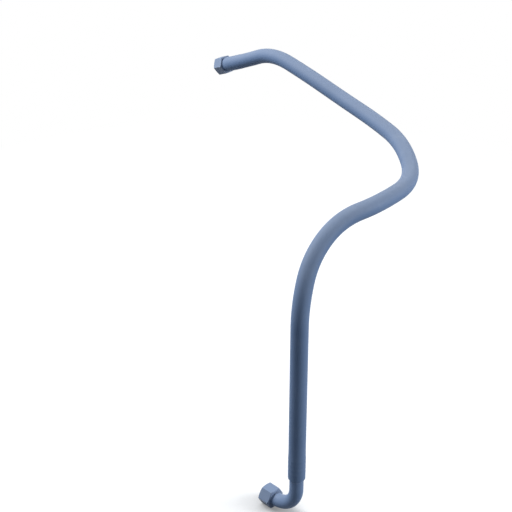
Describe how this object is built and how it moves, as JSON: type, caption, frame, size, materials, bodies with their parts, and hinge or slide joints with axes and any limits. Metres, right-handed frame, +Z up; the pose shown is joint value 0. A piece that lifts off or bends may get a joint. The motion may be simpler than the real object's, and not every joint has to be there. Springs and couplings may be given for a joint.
{
  "type": "flexible hose",
  "caption": "Flexible rubber hose with a swept right-angle union at its lower end and a straight union at its upper end, bent to link a low pipe to a higher one set back.",
  "frame": {"origin": "on the axis of the lower union nut, where its full thread starts", "axes": "+Z up; the lower union opens towards -X, its elbow turns up to +Z, and the hose bends over to +Y and then runs towards -X, where the upper union opens down a slope"},
  "size_m": [0.5148, 0.3848, 0.4027],
  "materials": {
    "hose_cover": "slate-blue smooth rubber, satin",
    "fitting_metal": "slate-blue coating on steel, satin",
    "gasket_rubber": "dark grey sheet rubber, matt"
  },
  "bodies": {
    "hose_assembly": {"hose": "hose_cover", "elbow_tube": "fitting_metal", "elbow_shank": "fitting_metal", "elbow_swivel_head": "fitting_metal", "lower_gasket": "gasket_rubber", "straight_tail": "fitting_metal", "upper_gasket": "gasket_rubber"},
    "lower_nut": {"lower_union_nut": "fitting_metal"},
    "upper_nut": {"upper_union_nut": "fitting_metal"}
  },
  "joints": [
    {"name": "lower_nut_turn", "type": "hinge", "parent": "hose_assembly", "child": "lower_nut", "pos_m": [0, 0, 0], "axis": [-1, 0, 0], "continuous": true},
    {"name": "upper_nut_turn", "type": "hinge", "parent": "hose_assembly", "child": "upper_nut", "pos_m": [-0.449, 0.357, 0.3335], "axis": [-0.9205, 0, -0.3907], "continuous": true}
  ]
}
